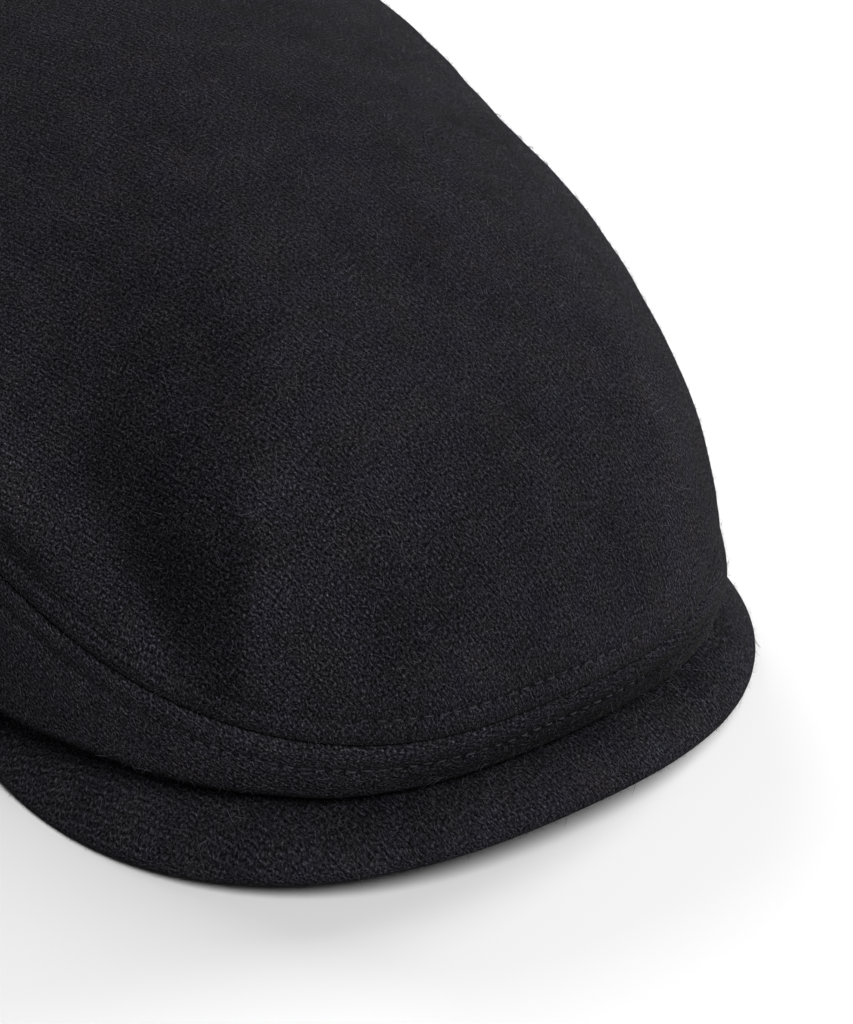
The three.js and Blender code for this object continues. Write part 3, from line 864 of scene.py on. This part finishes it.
peak = {
    "gap": 0.35, "reach": 50, "overSide": 13, "wideLineY": -59, "hornLength": 64,
    "squareness": 2.25, "thickness": 5, "rootBearing": 56, "edgeHeight": 11.7,
    "columns": 220, "depthRows": 24, "edgeRows": 14, "rootRows": 3,
    "edgeGroove": 0.35, "grooveTurn": -14, "grooveWide": 9,     # mm deep, degrees from the edge's middle
    "endCrowding": 0.12, "endFrom": 0.965, "endThin": 0.03,     # the horns' columns and rounded ends
    "rootRound": 0.35, "weaveShows": 0.85, "underFrom": 4,
    "creaseShadeDarker": 0.5, "creaseShadeWide": 7,     # painted shade on the peak beside the roll, where the band shades it, mm wide
    "creaseAt": (-32, -17, 18, 34), "creaseShows": (0, 1, 1, 0.45),    # how far, by bearing
}
peakEdges = {
    "angle": (0, 45, 75, 90, 106, 122),
    "height": (1, 0.53, 0.19, 0.22, 0.75, 1.15),
    "free": (0.7, 0.55, 0.3, 0.25, 0.2, 0.2),
}
hornEnd = peakEdges["angle"][-1]


def peakEdge(angle):
    width = cap["headWidth"] / 2 + peak["overSide"] - peak["thickness"] / 2
    front = cap["headLength"] / 2 + peak["reach"] + peak["wideLineY"] - peak["thickness"] / 2
    ahead = math.cos(math.radians(angle))
    power = 2 / peak["squareness"]
    along = (front if ahead > 0 else peak["hornLength"]) * abs(ahead) ** power
    return np.array([math.copysign(1, angle) * width * abs(math.sin(math.radians(angle))) ** power,
                     peak["wideLineY"] - math.copysign(1, ahead) * along])


def underCloth(plan):
    # height of the peak's middle layer where it lies against the band's tuck
    x, y = plan[0], cap["wideLineY"] - plan[1]
    rim, middle, rollStart = rollSection(math.degrees(math.atan2(x, y)))
    tuckEnd = middle + cap["rollRadius"] * np.array([math.cos(rollStart), math.sin(rollStart)])
    slope = (tuckEnd[1] - rim[1]) / (tuckEnd[0] - rim[0])
    return (rim[1] + slope * (math.hypot(x, y) - rim[0]) - peak["gap"]
            - peak["thickness"] / 2 * math.hypot(1, slope))


def peakLine(angle):
    # the peak's middle layer from its sewn root to its edge
    rootBearing = peak["rootBearing"] * angle / hornEnd
    turn = math.radians(rootBearing)
    root = openingRadius(rootBearing) * np.array([math.sin(turn), -math.cos(turn)]) + [0, cap["wideLineY"]]
    edge = peakEdge(angle)
    free = across(peakEdges, "free", angle)
    drop = underCloth(edge) - peak["edgeHeight"] * across(peakEdges, "height", angle)
    line = []
    for share in np.linspace(0, 1, peak["depthRows"] + 1):
        plan = root + (edge - root) * share
        line.append([*plan, underCloth(plan) - drop * max(0, (share - free) / (1 - free)) ** 2])
    return line


peakAngles = np.linspace(-1, 1, peak["columns"] + 1)
peakAngles = hornEnd * (peakAngles + peak["endCrowding"] * np.sin(math.pi * peakAngles) / math.pi)
layer = np.array([peakLine(a) for a in peakAngles])             # column, row, xyz
outward = np.gradient(layer, axis=1)
outward /= np.linalg.norm(outward, axis=2)[:, :, None]
sideways = np.gradient(layer, axis=0)
sideways /= np.linalg.norm(sideways, axis=2)[:, :, None]
upward = np.cross(outward, sideways)
upward /= np.linalg.norm(upward, axis=2)[:, :, None]
endShare = np.clip((np.abs(peakAngles) / hornEnd - peak["endFrom"]) / (1 - peak["endFrom"]), 0, 1)
half = (peak["thickness"] / 2 * np.sqrt(np.maximum(1 - endShare ** 2, peak["endThin"] ** 2)))[:, None, None]
under = layer - upward * half
top = (layer + upward * half)[:, ::-1]
turns = np.radians(np.linspace(-90, 90, peak["edgeRows"] + 1))[1:-1]
groove = 1 - 2 * peak["edgeGroove"] / peak["thickness"] * bump(
    np.degrees(turns), peak["grooveTurn"], peak["grooveWide"])
lip, lipOut, lipUp = layer[:, -1:], outward[:, -1:], upward[:, -1:]
rounded = (lip + lipOut * half * (np.cos(turns) * groove)[None, :, None]
           + lipUp * half * (np.sin(turns) * groove)[None, :, None])
rootTurns = np.radians(np.linspace(90, 270, peak["rootRows"] + 2))[1:-1]
rootEnd = (layer[:, :1] + outward[:, :1] * half * (peak["rootRound"] * np.cos(rootTurns))[None, :, None]
           + upward[:, :1] * half * np.sin(rootTurns)[None, :, None])
section = np.concatenate([under, rounded, top, rootEnd, under[:, :1]], axis=1)
section[:, :, 2] = np.maximum(section[:, :, 2] - cap["floorPress"], 0)
section[:, :, 1] += cap["shiftY"]
peakRows = section.shape[1] - 1

# flat cloth: the plan of the top, carried on round the edge and back below
edgeArc = peak["thickness"] / 2 * (math.pi / 2 - turns)
lipFlat = lip[:, 0, :2]
outFlat = lipOut[:, 0, :2] / np.linalg.norm(lipOut[:, 0, :2], axis=1)[:, None]
edgeFlat = lipFlat[:, None] + outFlat[:, None] * edgeArc[None, :, None]
fromLip = np.linalg.norm(layer[:, :, :2] - lipFlat[:, None], axis=2)
underFlat = lipFlat[:, None] + outFlat[:, None] * (math.pi * peak["thickness"] / 2 + fromLip)[:, :, None]
rootFlat = np.repeat(layer[:, :1, :2], peak["rootRows"], axis=1)
flats = np.concatenate([underFlat, edgeFlat, layer[:, ::-1, :2], rootFlat, underFlat[:, :1]], axis=1)
aroundPeak = np.concatenate([[0], np.cumsum(np.linalg.norm(np.diff(lip[:, 0], axis=0), axis=1))])
fromEdge = np.concatenate([fromLip + peak["underFrom"], np.abs(edgeArc)[None].repeat(len(lip), 0),
                           fromLip[:, ::-1], fromLip[:, :1].repeat(peak["rootRows"], 1), fromLip[:, :1]],
                          axis=1)
edges = np.stack([np.repeat(aroundPeak[:, None], peakRows + 1, 1), fromEdge], -1)

ahead = cap["wideLineY"] + cap["shiftY"] - section[:, :, 1]
bearings = np.degrees(np.arctan2(section[:, :, 0], ahead))
fromRoll = np.hypot(section[:, :, 0], ahead) - np.vectorize(rollRadiusOut)(bearings) + cap["rollRadius"] / 2
# painted shade: the peak is darker just outside the band's roll
creaseShade = bump(np.maximum(fromRoll, 0), 0, peak["creaseShadeWide"])
creaseShade = 1 - peak["creaseShadeDarker"] * creaseShade * np.interp(bearings, peak["creaseAt"], peak["creaseShows"])
peakPiece = clothGrid("peak", peak["columns"], peakRows, section.transpose(1, 0, 2) * mm,
                      flats.transpose(1, 0, 2), edges.transpose(1, 0, 2),
                      {"napTone": creaseShade.T, "weaveShows": np.full(creaseShade.T.shape, peak["weaveShows"])})
mergeDoubles(peakPiece)
bpy.ops.object.mode_set(mode="EDIT")
bpy.ops.mesh.select_all(action="DESELECT")
bpy.ops.mesh.select_non_manifold()
bpy.ops.mesh.edge_face_add()
bpy.ops.mesh.select_all(action="SELECT")
bpy.ops.mesh.normals_make_consistent(inside=False)
bpy.ops.object.mode_set(mode="OBJECT")
looseFibres("peakNap", peakPiece, 14000, 13, lowest=-0.8)
finishPiece(peakPiece, peakMelton, "peak")
print("peak made")

# Floor, light and camera

backdrop = {"size": 14, "below": 0.0003, "colour": "#bcbcbc", "whiteOver": (0.5, 1.1)}     # metres
bpy.ops.mesh.primitive_plane_add(size=backdrop["size"], location=(0, 0, -backdrop["below"]))
floor = bpy.context.object
floor.name = "paleFloor"
# a sweep of matt studio paper, bare of grain at this distance
paper = bpy.data.materials.new("matWhitePaper")
paper.use_nodes = True
paper.node_tree.nodes["Principled BSDF"].inputs["Base Color"].default_value = linear(backdrop["colour"])
paper.node_tree.nodes["Principled BSDF"].inputs["Roughness"].default_value = 0.9
# further off, where the lamps don't reach, the paper is as white to the eye as it is round the cap
farOff = addNode(paper, "ShaderNodeTexCoord").outputs["Object"]
farOff = addNode(paper, "ShaderNodeVectorMath", {0: farOff}, operation="LENGTH").outputs["Value"]
seen = addNode(paper, "ShaderNodeLightPath").outputs["Is Camera Ray"]
seen = calc(paper, "MULTIPLY", seen, mapped(paper, farOff, backdrop["whiteOver"], (0, 1), smooth=True))
lit = addNode(paper, "ShaderNodeMixShader", {
    "Fac": seen, 1: paper.node_tree.nodes["Principled BSDF"].outputs[0],
    2: addNode(paper, "ShaderNodeEmission").outputs[0]})
paper.node_tree.links.new(lit.outputs[0], paper.node_tree.nodes["Material Output"].inputs["Surface"])
floor.data.materials.append(paper)

studio = {
    "lookAt": (0, -0.041, 0.0427),
    "azimuth": -35.3, "elevation": 33.2, "distance": 0.8333, "lens": 128.9,
    "shiftX": 0.0865, "shiftY": -0.0249,
    "sky": 0.1,
    "key": (-12, 52, 1.6, 0.9, 39),          # azimuth, elevation, distance, size, power
    "side": (90, 14, 1.6, 0.8, 46),
    "behind": (176, 42, 1.6, 0.9, 21),
}
a, e = math.radians(studio["azimuth"]), math.radians(studio["elevation"])
back = Vector((math.sin(a) * math.cos(e), -math.cos(a) * math.cos(e), math.sin(e)))
right = Vector((math.cos(a), math.sin(a), 0))
bpy.ops.object.camera_add()
camera = bpy.context.object
camera.location = Vector(studio["lookAt"]) + back * studio["distance"]
camera.rotation_euler = back.to_track_quat("Z", "Y").to_euler()
camera.data.lens = studio["lens"]
camera.data.sensor_width = 36
camera.data.shift_x, camera.data.shift_y = studio["shiftX"], studio["shiftY"]
camera.data.clip_start, camera.data.clip_end = 0.05, 50
scene.camera = camera

world = bpy.data.worlds.new("paleStudio")
scene.world = world
world.use_nodes = True
world.node_tree.nodes["Background"].inputs[0].default_value = (1, 1, 1, 1)
skySeen = addNode(world, "ShaderNodeLightPath").outputs["Is Camera Ray"]
skySeen = mapped(world, skySeen, (0, 1), (studio["sky"], 1))
world.node_tree.links.new(skySeen, world.node_tree.nodes["Background"].inputs[1])


def softLight(name, azimuth, elevation, distance, size, power):
    turn, up = math.radians(azimuth), math.radians(elevation)
    place = Vector(studio["lookAt"]) + distance * Vector(
        (math.sin(turn) * math.cos(up), -math.cos(turn) * math.cos(up), math.sin(up)))
    bpy.ops.object.light_add(type="AREA", location=place)
    light = bpy.context.object
    light.name = name
    light.data.shape = "DISK"
    light.data.size = size
    light.data.energy = power
    light.rotation_euler = (place - Vector(studio["lookAt"])).to_track_quat("Z", "Y").to_euler()


softLight("keyFront", *studio["key"])
softLight("lowRight", *studio["side"])
softLight("behind", *studio["behind"])
scene.view_settings.view_transform = "Standard"
scene.view_settings.look = "None"
print("floor, light and camera set")
